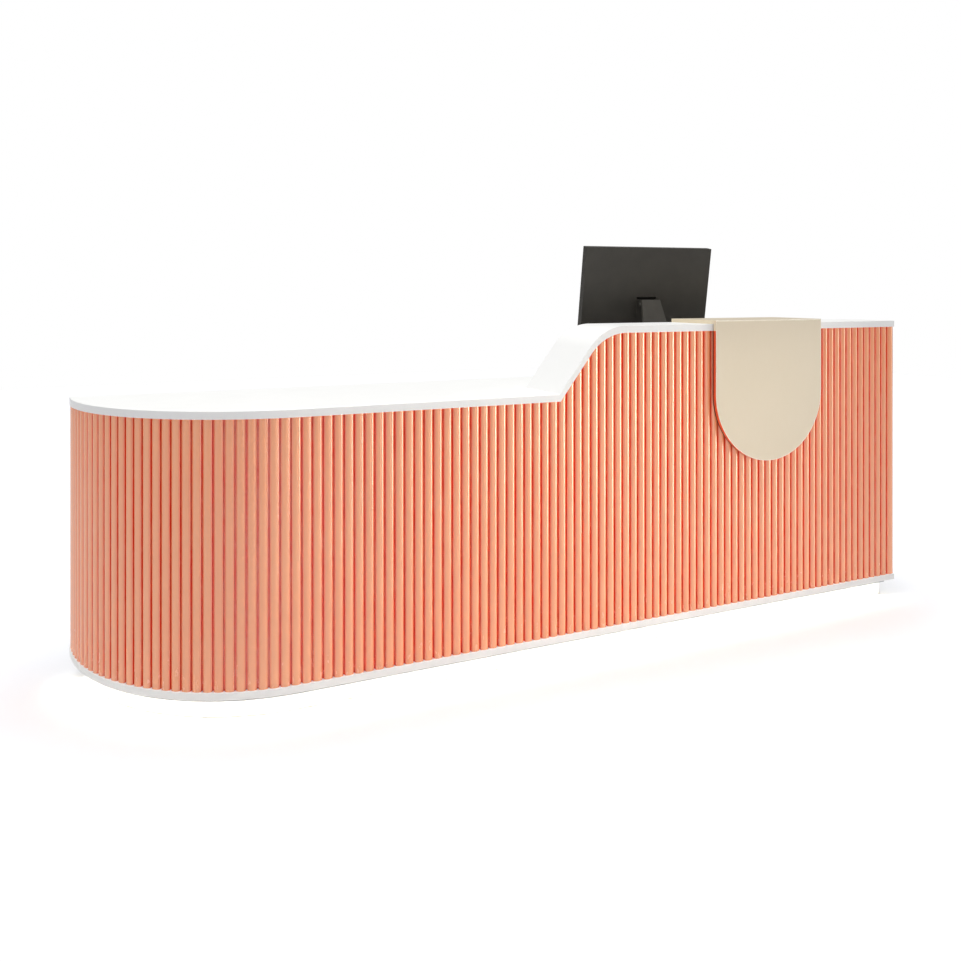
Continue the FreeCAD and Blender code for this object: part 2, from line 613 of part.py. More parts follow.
def make_drawers():
    names = ("3", "2", "1")
    x0 = PARTITION_X[3] + 1
    x1 = RIGHT - 1
    centre = (x0 + x1) / 2
    for index, name in enumerate(names):
        z0 = FRONT_SPLITS[index] + (REVEAL / 2 if index else 0)
        z1 = FRONT_SPLITS[index + 1] - REVEAL / 2
        front = box(x0, x1, FACE_Y, FACE_OUT, z0, z1)
        if name == "1":
            front = front.cut(rod(9.2, vec(LOCK_X, FACE_Y - 1, LOCK_Z), vec(0, 1, 0), BOARD + 2))
        add("drawer_front_" + name, front)
        add("drawer_box_" + name, drawer_box(*BOX_HEIGHTS[index]))
        handle_z = z1 - 60 if name != "1" else (z0 + z1) / 2 - 12
        add("drawer_handle_" + name, bar_handle(centre, handle_z, False))


def make_lock():
    body = rod(9.0, vec(LOCK_X, 222.0, LOCK_Z), vec(0, 1, 0), FACE_OUT - 222.0)
    rose = rod(11.5, vec(LOCK_X, FACE_OUT, LOCK_Z), vec(0, 1, 0), 2.5)
    keyway = box(LOCK_X - 1.2, LOCK_X + 1.2, FACE_OUT - 4, FACE_OUT + 4, LOCK_Z - 4.5, LOCK_Z + 4.5)
    cam = box(LOCK_X, LOCK_X + CAM_REACH, 222.0, 225.0, LOCK_Z - 6, LOCK_Z + 6)
    add("drawer_lock", body.fuse([rose, cam]).cut(keyway).removeSplitter())


def make_cash_tray():
    x0 = DRAWER_X0 + RUNNER_GAP + BOX_WALL + 4
    x1 = DRAWER_X1 - RUNNER_GAP - BOX_WALL - 4
    y0 = -70.0
    y1 = CARCASS_BACK + FRONT_GAP - BOX_WALL - 6
    z0 = BOX_HEIGHTS[2][0] + BOX_FLOOR
    z1 = z0 + 55
    wall = 4.0
    tray = box(x0, x1, y0, y1, z0, z1)
    split_y = y1 - 95
    for count, ya, yb in ((3, y0, split_y), (4, split_y, y1)):
        cell = (x1 - x0 - wall) / count
        for index in range(count):
            xa = x0 + wall + index * cell
            cup = box(xa, xa + cell - wall, ya + wall, yb - wall / 2, z0 + 3, z1 + 1)
            tray = tray.cut(cup)
    add("cash_tray", tray)


def make_keyboard_tray():
    x0 = KNEE_X0 + RUNNER_GAP
    x1 = KNEE_X1 - RUNNER_GAP
    board = box(x0, x1, TRAY_Y0, TRAY_Y1, TRAY_TOP - BOARD, TRAY_TOP)
    add("keyboard_tray", board.fuse(side_rails(x0, x1, TRAY_Y0, TRAY_Y1 - 8, TRAY_RAIL_Z)).removeSplitter())


def make_runners():
    parts = []
    y1 = CARCASS_BACK - 4
    for z0, _ in BOX_HEIGHTS:
        parts.append(channel(DRAWER_X0, 1, y1 - BOX_LENGTH, y1, z0 + 30))
        parts.append(channel(DRAWER_X1, -1, y1 - BOX_LENGTH, y1, z0 + 30))
    parts.append(channel(KNEE_X0, 1, TRAY_Y0 - 60, y1, TRAY_RAIL_Z))
    parts.append(channel(KNEE_X1, -1, TRAY_Y0 - 60, y1, TRAY_RAIL_Z))
    add("runner_channels", *parts)


# ---------------------------------------------------------------- display
DISPLAY_X = 553.0
DISPLAY_W = 508.0
DISPLAY_H = 310.0
DISPLAY_YAW = -6.8
TILT_REST = 10.0
TILT_Y = 116.0
TILT_Z = 1062.0
PANEL_BACK = 17.0
PANEL_CENTRE_UP = 46.0
SHELL_T = 22.0
SHELL_WALL = 2.5
SHELL_CORNER = 2.5
BEZEL_T = 6.0
BEZEL_W = 9.0
HOOK_SLOT_W = 78.0
HOOK_SLOT_H = 6.0
EAR_R = 9.0
TILT_PIN_R = 4.0
NECK_TOP_W = 74.0
NECK_FOOT_W = 140.0
NECK_T = 10.0
NECK_LEAN = 21.0
NECK_TOP_Z = 1075.0
NECK_TOP_Y = 100.0
STAND_Z = LOW_TOP + 8.0
STAND_HALF_W = 110.0
STAND_FRONT = -34.0
STAND_BACK = 168.0


def yawed(solid):
    """Turn a display part a little towards the low end, about the upright through the tilt axis."""
    solid.rotate(vec(DISPLAY_X, TILT_Y, 0), vec(0, 0, 1), DISPLAY_YAW)
    return solid


def tilted(solid):
    """Lean a display part back to its resting angle about the tilt axis, then turn it."""
    solid.rotate(vec(DISPLAY_X, TILT_Y, TILT_Z), vec(1, 0, 0), TILT_REST)
    return yawed(solid)


def neck_plate():
    """A leaning flat plate, wider at its foot."""
    lean = math.tan(math.radians(NECK_LEAN))
    foot_y = NECK_TOP_Y - lean * (NECK_TOP_Z - STAND_Z)
    half_t = NECK_T / 2 / math.cos(math.radians(NECK_LEAN))
    x0 = DISPLAY_X - NECK_FOOT_W / 2
    side = [vec(x0, foot_y - half_t, STAND_Z), vec(x0, foot_y + half_t, STAND_Z)]
    side += [vec(x0, NECK_TOP_Y + half_t, NECK_TOP_Z), vec(x0, NECK_TOP_Y - half_t, NECK_TOP_Z)]
    plate = Part.Face(Part.Wire(polygon(side))).extrude(vec(NECK_FOOT_W, 0, 0))
    y = foot_y - NECK_T * 2
    front = [vec(DISPLAY_X - NECK_FOOT_W / 2, y, STAND_Z), vec(DISPLAY_X + NECK_FOOT_W / 2, y, STAND_Z)]
    front += [vec(DISPLAY_X + NECK_TOP_W / 2, y, NECK_TOP_Z), vec(DISPLAY_X - NECK_TOP_W / 2, y, NECK_TOP_Z)]
    taper = Part.Face(Part.Wire(polygon(front))).extrude(vec(0, NECK_TOP_Y - y + NECK_T * 2, 0))
    return plate.common(taper)


def make_stand():
    x0, x1 = DISPLAY_X - STAND_HALF_W, DISPLAY_X + STAND_HALF_W
    add("display_base", yawed(rounded_box(x0, x1, STAND_FRONT, STAND_BACK, LOW_TOP, STAND_Z, 14, "z")))
    neck = neck_plate()
    for sign in (-1, 1):
        inner = DISPLAY_X + sign * 24.0
        outer = DISPLAY_X + sign * 34.0
        lo, hi = min(inner, outer), max(inner, outer)
        disc = rod(EAR_R, vec(lo, TILT_Y, TILT_Z), vec(1, 0, 0), hi - lo)
        web_side = [vec(lo, TILT_Y, TILT_Z + EAR_R), vec(lo, NECK_TOP_Y, TILT_Z + EAR_R)]
        web_side += [vec(lo, NECK_TOP_Y - 6.1, TILT_Z - EAR_R), vec(lo, TILT_Y, TILT_Z - EAR_R)]
        web = Part.Face(Part.Wire(polygon(web_side))).extrude(vec(hi - lo, 0, 0))
        neck = neck.fuse([disc, web])
    bore = rod(TILT_PIN_R, vec(DISPLAY_X - 40, TILT_Y, TILT_Z), vec(1, 0, 0), 80)
    add("display_neck", yawed(neck.cut(bore).removeSplitter()))
    add("display_tilt_pin", yawed(rod(TILT_PIN_R, vec(DISPLAY_X - 34, TILT_Y, TILT_Z), vec(1, 0, 0), 68)))


def make_display():
    x0 = DISPLAY_X - DISPLAY_W / 2
    x1 = DISPLAY_X + DISPLAY_W / 2
    z0 = TILT_Z + PANEL_CENTRE_UP - DISPLAY_H / 2
    z1 = z0 + DISPLAY_H
    y0 = TILT_Y + PANEL_BACK
    y1 = y0 + SHELL_T
    shell = rounded_box(x0, x1, y0, y1, z0, z1, SHELL_CORNER, "y")
    w = SHELL_WALL
    hollow = box(x0 + w, x1 - w, y0 + w, y1 + 1, z0 + w, z1 - w)
    slot_z = NECK_TOP_Z + 1
    half_slot = HOOK_SLOT_W / 2
    slot = box(DISPLAY_X - half_slot, DISPLAY_X + half_slot, y0 - 1, y0 + w + 1, slot_z, slot_z + HOOK_SLOT_H)
    vents = []
    for index in range(18):
        x = DISPLAY_X - 136 + index * 16
        vents.append(box(x - 4, x + 4, y0 - 1, y0 + w + 1, z0 + 12, z0 + 15))
    add("display_rear_shell", tilted(shell.cut([hollow, slot] + vents)))
    frame = rounded_box(x0, x1, y1, y1 + BEZEL_T, z0, z1, SHELL_CORNER, "y")
    b = BEZEL_W
    window = box(x0 + b, x1 - b, y1 - 1, y1 + BEZEL_T + 1, z0 + b + 6, z1 - b)
    add("display_bezel", tilted(frame.cut(window)))
    screen = box(x0 + w + 2, x1 - w - 2, y1 - 5, y1, z0 + w + 2, z1 - w - 2)
    add("display_screen", tilted(screen))
    barrel = rod(EAR_R, vec(DISPLAY_X - 23.5, TILT_Y, TILT_Z), vec(1, 0, 0), 47)
    web = box(DISPLAY_X - 23.5, DISPLAY_X + 23.5, TILT_Y, y0 - 4, TILT_Z - EAR_R, TILT_Z + EAR_R)
    plate = box(DISPLAY_X - 40, DISPLAY_X + 40, y0 - 4, y0, TILT_Z - 50, TILT_Z + EAR_R)
    bore = rod(TILT_PIN_R + PIN_CLEAR, vec(DISPLAY_X - 40, TILT_Y, TILT_Z), vec(1, 0, 0), 80)
    knuckle = barrel.fuse([web, plate]).cut(bore).removeSplitter()
    add("display_tilt_bracket", tilted(knuckle))


def main():
    make_plinth()
    make_feet()
    make_base_board()
    make_led_strip()
    make_substrates()
    make_slats()
    make_tops()
    make_ledge()
    make_arch()
    make_grommet()
    make_carcass()
    make_shelves()
    make_brackets()
    make_doors()
    make_drawers()
    make_lock()
    make_cash_tray()
    make_keyboard_tray()
    make_runners()
    make_stand()
    make_display()
    os.makedirs("parts", exist_ok=True)
    for name, solids in NODES.items():
        shape = solids[0] if len(solids) == 1 else Part.makeCompound(solids)
        shape.exportStep("parts/%s.step" % name)
        bounds = shape.BoundBox
        corners = (bounds.XMin, bounds.XMax, bounds.YMin, bounds.YMax, bounds.ZMin, bounds.ZMax)
        print("%-22s solids %3d valid %s  %s" % (name, len(shape.Solids), shape.isValid(),
                                                 " ".join("%.1f" % v for v in corners)))
    print(len(NODES), "nodes, pitch %.3f, ramp ends at %.2f, cap foot %.2f" % (PITCH, RAMP_TOP_X, CAP_FOOT_X))


main()
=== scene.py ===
import bpy
import math
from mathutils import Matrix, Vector


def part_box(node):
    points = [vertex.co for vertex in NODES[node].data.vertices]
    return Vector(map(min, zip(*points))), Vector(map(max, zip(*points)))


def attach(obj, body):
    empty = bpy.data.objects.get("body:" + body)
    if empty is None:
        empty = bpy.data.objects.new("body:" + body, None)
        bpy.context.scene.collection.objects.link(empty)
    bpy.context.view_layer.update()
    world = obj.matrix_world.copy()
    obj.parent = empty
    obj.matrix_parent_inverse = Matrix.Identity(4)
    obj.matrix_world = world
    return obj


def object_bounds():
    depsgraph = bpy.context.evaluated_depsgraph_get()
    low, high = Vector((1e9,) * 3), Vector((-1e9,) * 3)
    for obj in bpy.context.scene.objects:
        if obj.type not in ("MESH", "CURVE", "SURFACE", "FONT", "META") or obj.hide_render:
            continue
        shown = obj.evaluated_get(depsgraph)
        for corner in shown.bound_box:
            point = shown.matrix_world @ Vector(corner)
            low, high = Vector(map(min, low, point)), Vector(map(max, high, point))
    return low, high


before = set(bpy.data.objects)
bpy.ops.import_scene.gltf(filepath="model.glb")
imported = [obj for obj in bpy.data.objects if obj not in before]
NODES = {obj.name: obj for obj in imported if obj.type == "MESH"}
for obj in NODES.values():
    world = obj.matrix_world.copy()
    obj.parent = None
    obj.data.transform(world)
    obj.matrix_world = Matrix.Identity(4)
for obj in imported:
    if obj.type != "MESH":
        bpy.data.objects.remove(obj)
CAD_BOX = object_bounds()

# Lengths are metres in the counter's own frame: X along the counter, +Y to the staff side, +Z up.
MM = 0.001
UP = Vector((0, 0, 1))

# ---------------------------------------------------------------- places read from the frame
LOW_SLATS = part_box("slats_low")
SLAT_FACE_Y = LOW_SLATS[0].y
SLAT_DEPTH = LOW_SLATS[1].y - LOW_SLATS[0].y
SLAT_FOOT_Z = LOW_SLATS[0].z
RIM_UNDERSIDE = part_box("slats_high")[1].z
RIGHT_END_X = CAD_BOX[1].x

# The rounded end: a quarter circle to the left of CORNER_X, about (CORNER_X, CORNER_Y).
CORNER_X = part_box("front_substrate")[0].x
CORNER_R = CORNER_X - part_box("slats_corner")[0].x
CORNER_Y = SLAT_FACE_Y + CORNER_R

# The slats' even spacing, along the front and as an angle round the corner. SLAT_FILL is the share
# of the pitch that is slat and not gap.
SLATS_STRAIGHT = 76
SLATS_CORNER = 30
SLAT_PITCH = (RIGHT_END_X - CORNER_X) / SLATS_STRAIGHT
SLAT_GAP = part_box("slats_ramp")[0].x - LOW_SLATS[1].x
SLAT_FILL = 1 - SLAT_GAP / SLAT_PITCH
FIRST_SLAT = LOW_SLATS[0].x - SLAT_GAP / 2
SLAT_STEP = math.pi / 2 / SLATS_CORNER
FIRST_ANGLE = (FIRST_SLAT - CORNER_X) / CORNER_R

# ---------------------------------------------------------------- camera
SENSOR = 36.0                       # millimetres
LENS = 34.46                        # millimetres
SHIFT_DOWN = -0.1956                # share of the sensor's width
HEADING = math.radians(-25.72)      # turned from +Y towards +X; the camera is level
CAMERA_PLACE = (-1.4436, -2.627, 1.102)


def make_camera():
    data = bpy.data.cameras.new("camera")
    data.sensor_width = SENSOR
    data.lens = LENS
    data.shift_y = SHIFT_DOWN
    camera = bpy.data.objects.new("camera", data)
    camera.location = CAMERA_PLACE
    camera.rotation_euler = (math.pi / 2, 0, HEADING)
    bpy.context.scene.collection.objects.link(camera)
    bpy.context.scene.camera = camera


# ---------------------------------------------------------------- material tools
class Paint:
    """A node tree with one Principled shader, and short calls for the nodes used here."""

    def __init__(self, name):
        self.material = bpy.data.materials.new(name)
        self.material.use_nodes = True
        self.tree = self.material.node_tree
        self.tree.nodes.clear()
        self.out = self.tree.nodes.new("ShaderNodeOutputMaterial")
        self.shader = self.tree.nodes.new("ShaderNodeBsdfPrincipled")
        self.tree.links.new(self.shader.outputs["BSDF"], self.out.inputs["Surface"])
        self.place = self.tree.nodes.new("ShaderNodeTexCoord").outputs["Object"]

    def node(self, kind, inputs=None, **settings):
        """A new node, with its settings made and its inputs linked or filled."""
        made = self.tree.nodes.new("ShaderNode" + kind)
        for key, value in settings.items():
            setattr(made, key, value)
        for key, value in (inputs or {}).items():
            self.put(made.inputs[key], value)
        return made

    def put(self, socket, value):
        if isinstance(value, bpy.types.NodeSocket):
            self.tree.links.new(value, socket)
        else:
            socket.default_value = value

    def set(self, **values):
        """Values for the shader's inputs, with _ for each space in an input's name."""
        for key, value in values.items():
            self.put(self.shader.inputs[key.replace("_", " ")], value)

    def math(self, kind, a, b=0.0):
        return self.node("Math", {0: a, 1: b}, operation=kind).outputs[0]

    def noise(self, scale, detail=2.0, rough=0.5, vector=None):
        where = vector or self.place
        ins = {"Vector": where, "Scale": scale, "Detail": detail, "Roughness": rough}
        return self.node("TexNoise", ins).outputs["Fac"]

    def streaks(self, stretch, detail=4.0, rough=0.6):
        """Noise of a different fineness along X, Y and Z; a small number draws it out."""
        ins = {0: self.place, 1: stretch}
        vector = self.node("VectorMath", ins, operation="MULTIPLY").outputs[0]
        return self.noise(1.0, detail, rough, vector)

    def cells(self, scale, output="Distance"):
        ins = {"Vector": self.place, "Scale": scale}
        return self.node("TexVoronoi", ins).outputs[output]

    def random(self, value):
        return self.node("TexWhiteNoise", {"W": value}, noise_dimensions="1D").outputs["Value"]

    def span(self, value, low, high, to_low=0.0, to_high=1.0):
        """The value carried from low..high to to_low..to_high, and kept inside them."""
        ins = {"Value": value, "From Min": low, "From Max": high, "To Min": to_low, "To Max": to_high}
        return self.node("MapRange", ins, clamp=True).outputs[0]

    def mix(self, factor, a, b):
        """Colour a at factor 0 and colour b at factor 1."""
        return self.node("Mix", {0: factor, 6: a, 7: b}, data_type="RGBA").outputs[2]

    def choose(self, test, no, yes):
        """One of two numbers, by a test that is 0 or 1."""
        return self.node("Mix", {0: test, 2: no, 3: yes}, data_type="FLOAT").outputs[0]

    def touch(self, tone, other, mask, amount):
        """The tone, with up to an amount of another colour where the mask is high."""
        return self.mix(self.math("MULTIPLY", mask, amount), tone, other)

    def raised(self, value, mask, amount):
        """The value, raised by up to an amount where the mask is high."""
        return self.math("ADD", value, self.math("MULTIPLY", mask, amount))

    def xyz(self, vector=None):
        return self.node("SeparateXYZ", {0: vector or self.place}).outputs

    def facing(self):
        """The X, Y and Z of the way the surface looks, before any bump."""
        return self.xyz(self.node("NewGeometry").outputs["True Normal"])

    def bump(self, height, distance, strength=1.0, normal=None):
        made = self.node("Bump", {"Height": height, "Distance": distance, "Strength": strength})
        if normal is not None:
            self.put(made.inputs["Normal"], normal)
        return made.outputs["Normal"]

    def edges(self, radius, low=0.02, high=0.25):
        """Near 1 on convex and concave edges, 0 on flat ground."""
        round_normal = self.node("Bevel", {"Radius": radius}, samples=4).outputs[0]
        true_normal = self.node("NewGeometry").outputs["Normal"]
        product = self.node("VectorMath", {0: round_normal, 1: true_normal}, operation="DOT_PRODUCT")
        return self.span(self.math("SUBTRACT", 1.0, product.outputs["Value"]), low, high)


def colour(red, green, blue):
    """A display colour from 0 to 255, as the linear values that shaders take."""
    linear = []
    for value in (red, green, blue):
        part = value / 255
        linear.append(part / 12.92 if part <= 0.04045 else ((part + 0.055) / 1.055) ** 2.4)
    return (*linear, 1.0)


# ---------------------------------------------------------------- materials of the customer side
SALMON = colour(247, 157, 104)
SALMON_DEEP = colour(243, 139, 90)
SALMON_PALE = colour(251, 182, 134)
SALMON_SCUFFED = colour(196, 138, 118)
# painted shade: the next colour is the deeper red given to the grooves in place of their shade and red
# bounce light
GROOVE_SHADE_RED = colour(253, 86, 52)
MELAMINE = colour(236, 233, 228)
MELAMINE_PEARL = colour(246, 244, 240)
WHITE_STONE = colour(249, 249, 247)
STONE_CLOUD = colour(252, 252, 251)
STONE_FLECK = colour(224, 222, 218)
STONE_WORN = colour(226, 224, 220)
# the next colour is painted shade for the stone's upright faces
STONE_UPRIGHT_SHADE = colour(234, 234, 233)
BEIGE = colour(213, 200, 178)
BEIGE_CLOUD = colour(209, 196, 173)
BEIGE_GRAIN = colour(206, 190, 162)
# the next colour is a painted highlight along the arch panel's arrises
BEIGE_ARRIS_HIGHLIGHT = colour(252, 246, 232)
# painted light on the arch's side edges: an orange reflection of the slats below the rim, and cream above it
SLAT_BOUNCE_ORANGE = colour(238, 98, 56)
SIDE_LIGHT_CREAM = colour(252, 236, 206)

LACQUER_IOR = 1.62
LACQUER_STRETCH = 0.9               # how far the upright brushing draws out the highlights
SCUFF_HEIGHT = 0.12                 # scuffs fade out this far above the slats' feet
GROOVE_SHADE_FROM = 0.12 * SLAT_DEPTH     # behind the outer face, where the painted shade of the grooves, a deeper red, begins
GROOVE_SHADE_FULL = 0.6 * SLAT_DEPTH      # and where it is full
BOARD_SKIN = 3 * MM                 # how deep the backing boards look lacquered


def slat_count(paint):
    """A number that grows by one from slat to slat, straight or round the corner."""
    x, y = paint.xyz()[:2]
    along = paint.math("DIVIDE", paint.math("SUBTRACT", x, FIRST_SLAT), SLAT_PITCH)
    from_y = paint.math("SUBTRACT", y, CORNER_Y)
    from_x = paint.math("SUBTRACT", x, CORNER_X)
    turn = paint.math("SUBTRACT", paint.math("ARCTAN2", from_y, from_x), FIRST_ANGLE - math.pi / 2)
    around = paint.math("DIVIDE", turn, SLAT_STEP)
    return paint.choose(paint.math("GREATER_THAN", x, FIRST_SLAT), around, along)


def slat_depth(paint):
    """How far a point lies behind the outer face of the slats, in metres."""
    x, y = paint.xyz()[:2]
    flat = paint.math("SUBTRACT", y, SLAT_FACE_Y)
    from_x = paint.math("SUBTRACT", x, CORNER_X)
    from_y = paint.math("SUBTRACT", y, CORNER_Y)
    squares = paint.math("ADD", paint.math("POWER", from_x, 2.0), paint.math("POWER", from_y, 2.0))
    curved = paint.math("SUBTRACT", CORNER_R, paint.math("SQRT", squares))
    return paint.choose(paint.math("GREATER_THAN", x, CORNER_X), curved, flat)


def lacquer(name):
    """Satin salmon lacquer: small tone steps, roller grain, scuffs low down, lighter shoulders that are
    partly wear and partly a painted highlight, and painted shade deep in the grooves.
    """
    paint = Paint(name)
    z = paint.xyz()[2]
    cloud = paint.noise(2.5, 3.0)
    streak = paint.streaks((420.0, 420.0, 14.0))
    tone = paint.mix(paint.span(cloud, 0.3, 0.7, 0.0, 0.35), SALMON, SALMON_PALE)
    tone = paint.mix(paint.span(streak, 0.3, 0.75, 0.0, 0.08), tone, SALMON_DEEP)
    count = slat_count(paint)
    batch = paint.random(paint.math("FLOOR", count))
    tone = paint.touch(tone, SALMON_DEEP, batch, 0.22)
    # painted shade: deeper in the grooves the colour turns to a deeper red, standing in for their shade and
    # bounce light
    groove_shade = paint.span(slat_depth(paint), GROOVE_SHADE_FROM, GROOVE_SHADE_FULL)
    tone = paint.mix(groove_shade, tone, GROOVE_SHADE_RED)
    scuff = paint.streaks((60.0, 60.0, 18.0), 5.0, 0.7)
    low_down = paint.span(z, SLAT_FOOT_Z, SLAT_FOOT_Z + SCUFF_HEIGHT, 1.0, 0.0)
    scuffed = paint.math("MULTIPLY", paint.span(scuff, 0.55, 0.75), low_down)
    tone = paint.touch(tone, SALMON_SCUFFED, scuffed, 0.22)
    # lighter shoulders: partly rubbed wear, partly a painted highlight in place of the cream highlights the
    # lights leave on the crowns
    from_middle = paint.math("ABSOLUTE", paint.math("SUBTRACT", paint.math("FRACT", count), 0.5))
    shoulder = paint.span(from_middle, 0.5 * SLAT_FILL - 0.06, 0.5 * SLAT_FILL - 0.01)
    shoulder_patches = paint.span(paint.streaks((30.0, 30.0, 9.0)), 0.42, 0.62)
    edge_marks = paint.math("MULTIPLY", shoulder, shoulder_patches)
    tone = paint.touch(tone, SALMON_PALE, edge_marks, 0.4)
    peel = paint.noise(620.0, 2.0)
    normal = paint.bump(peel, 0.00001, 0.2)
    normal = paint.bump(streak, 0.00002, 0.2, normal)
    brushed = paint.streaks((90.0, 90.0, 2.5), 3.0, 0.5)
    gloss = paint.raised(paint.span(brushed, 0.3, 0.7, 0.20, 0.25), scuffed, 0.2)
    upright = paint.node("CombineXYZ", {2: 1.0}).outputs[0]
    paint.set(Base_Color=tone, Roughness=gloss, Normal=normal, Tangent=upright)
    paint.set(Anisotropic=LACQUER_STRETCH, IOR=LACQUER_IOR, Specular_IOR_Level=1.0)
    paint.set(Coat_Weight=0.1, Coat_Roughness=0.2)
    return paint


def backing_board():
    """The board behind the slats: lacquered towards the slats, white melamine behind."""
    paint = lacquer("backing_board")
    inside = paint.math("GREATER_THAN", slat_depth(paint), SLAT_DEPTH + BOARD_SKIN)
    salmon = paint.shader.inputs["Base Color"].links[0].from_socket
    pearl = paint.span(paint.noise(900.0, 2.0), 0.3, 0.7, 0.0, 0.5)
    white = paint.mix(pearl, MELAMINE, MELAMINE_PEARL)
    paint.set(Base_Color=paint.mix(inside, salmon, white))
    return paint.material


def solid_surface():
    """Satin acrylic stone: a milky white with fine, faint particles and soft polishing marks; its upright
    faces get painted shade.
    """
    paint = Paint("solid_surface")
    flecks = paint.span(paint.cells(900.0), 0.05, 0.22, 1.0, 0.0)
    sparse = paint.math("MULTIPLY", flecks, paint.span(paint.noise(170.0, 1.0), 0.52, 0.6))
    cloud = paint.span(paint.noise(7.0, 4.0), 0.3, 0.7, 0.0, 0.5)
    tone = paint.mix(cloud, WHITE_STONE, STONE_CLOUD)
    tone = paint.touch(tone, STONE_FLECK, sparse, 0.2)
    polish = paint.streaks((9.0, 90.0, 40.0), 5.0)
    edge_marks = paint.math("MULTIPLY", paint.edges(0.002), paint.span(paint.noise(25.0, 3.0), 0.4, 0.65))
    tone = paint.touch(tone, STONE_WORN, edge_marks, 0.25)
    # painted shade: upright faces are made greyer than the level tops
    level = paint.math("ABSOLUTE", paint.facing()[2])
    tone = paint.mix(paint.span(level, 0.1, 0.5, 0.8, 0.0), tone, STONE_UPRIGHT_SHADE)
    gloss = paint.raised(paint.span(polish, 0.3, 0.75, 0.30, 0.35), edge_marks, 0.1)
    normal = paint.bump(paint.noise(300.0, 3.0), 0.00003, 0.3)
    paint.set(Base_Color=tone, Roughness=gloss, Normal=normal, Specular_IOR_Level=0.2)
    return paint.material


def beige_lacquer():
    """Satin beige lacquer with a painted highlight along its arrises; its side edges carry painted light:
    cream above the rim, and below it an orange painted reflection of the slats.
    """
    paint = Paint("beige_lacquer")
    cloud = paint.span(paint.noise(4.0, 3.0), 0.3, 0.7, 0.0, 0.5)
    tone = paint.mix(cloud, BEIGE, BEIGE_CLOUD)
    grain = paint.streaks((160.0, 160.0, 30.0))
    tone = paint.mix(paint.span(grain, 0.35, 0.75, 0.0, 0.12), tone, BEIGE_GRAIN)
    # painted highlight: a pale line along the panel's arrises, a little patchy
    arris = paint.edges(0.006, 0.005, 0.08)
    edge_marks = paint.math("MULTIPLY", arris, paint.span(paint.noise(30.0, 4.0), 0.3, 0.6, 0.6, 1.0))
    tone = paint.touch(tone, BEIGE_ARRIS_HIGHLIGHT, edge_marks, 0.8)
    # painted light: side faces turn cream above the rim and orange below it, in place of the light the white
    # top and the slats throw on them
    facing = paint.facing()
    sideways = paint.math("LESS_THAN", paint.math("ABSOLUTE", facing[1]), 0.5)
    level = paint.math("GREATER_THAN", paint.math("ABSOLUTE", facing[2]), 0.9)
    below_rim = paint.math("LESS_THAN", paint.xyz()[2], RIM_UNDERSIDE)
    painted_side_light = paint.mix(below_rim, paint.mix(level, SIDE_LIGHT_CREAM, tone), SLAT_BOUNCE_ORANGE)
    tone = paint.mix(sideways, tone, painted_side_light)
    normal = paint.bump(paint.noise(520.0, 2.0), 0.00006, 0.35)
    gloss = paint.span(paint.noise(22.0, 4.0), 0.3, 0.7, 0.30, 0.42)
    paint.set(Base_Color=tone, Roughness=gloss, Normal=normal)
    return paint.material


# ---------------------------------------------------------------- materials of the staff side
LAMINATE = colour(238, 236, 232)
LAMINATE_CLOUD = colour(230, 227, 222)
LAMINATE_TAPE = colour(214, 209, 202)
LAMINATE_SMUDGE = colour(190, 186, 180)
BARE_METAL = colour(226, 226, 226)
ZINC = colour(186, 190, 194)
ZINC_STAIN = colour(140, 144, 150)
ZINC_BRIGHT = colour(222, 224, 226)
LENS_WHITE = colour(246, 246, 242)
LENS_RIPPLE = colour(236, 236, 230)
WARM_GLOW = colour(255, 250, 236)
WARMER_GLOW = colour(255, 244, 220)
GLASS_BLACK = colour(12, 13, 15)
GLASS_WIPED = colour(24, 25, 28)

LIGHT_SOURCE_PITCH = 0.0333         # between the small light sources behind the opal cover
LENS_STRENGTH = 20.0


def white_laminate():
    """Pearl-textured melamine board with matching edge tape."""
    paint = Paint("white_laminate")
    cloud = paint.span(paint.noise(5.0, 3.0), 0.3, 0.7, 0.0, 0.6)
    tone = paint.mix(cloud, LAMINATE, LAMINATE_CLOUD)
    tape = paint.edges(0.0015, 0.03, 0.3)
    tone = paint.touch(tone, LAMINATE_TAPE, tape, 0.35)
    smudge = paint.span(paint.noise(14.0, 5.0, 0.65), 0.55, 0.8)
    tone = paint.touch(tone, LAMINATE_SMUDGE, smudge, 0.08)
    pearl = paint.noise(1100.0, 2.0, 0.6)
    normal = paint.bump(pearl, 0.00008, 0.5)
    gloss = paint.raised(paint.span(pearl, 0.3, 0.7, 0.42, 0.55), smudge, 0.08)
    paint.set(Base_Color=tone, Roughness=gloss, Normal=normal)
    return paint.material


def moulded(name, base, other, rough, grain=1400.0):
    """Moulded plastic or rubber, or powder-coated metal: a fine texture and rubbed edges."""
    paint = Paint(name)
    cloud = paint.span(paint.noise(16.0, 3.0), 0.3, 0.7)
    tone = paint.mix(cloud, base, other)
    edge_marks = paint.math("MULTIPLY", paint.edges(0.0012), paint.span(paint.noise(60.0, 3.0), 0.4, 0.65))
    lighter = tuple(min(1.0, value * 1.8 + 0.01) for value in base[:3]) + (1.0,)
    tone = paint.touch(tone, lighter, edge_marks, 0.5)
    texture = paint.noise(grain, 2.0, 0.6)
    dust = paint.span(paint.noise(24.0, 5.0, 0.7), 0.5, 0.8, 0.0, 0.1)
    paint.set(Base_Color=tone, Normal=paint.bump(texture, 0.00007, 0.5))
    paint.set(Roughness=paint.math("ADD", paint.span(texture, 0.3, 0.7, rough, rough + 0.1), dust))
    return paint.material


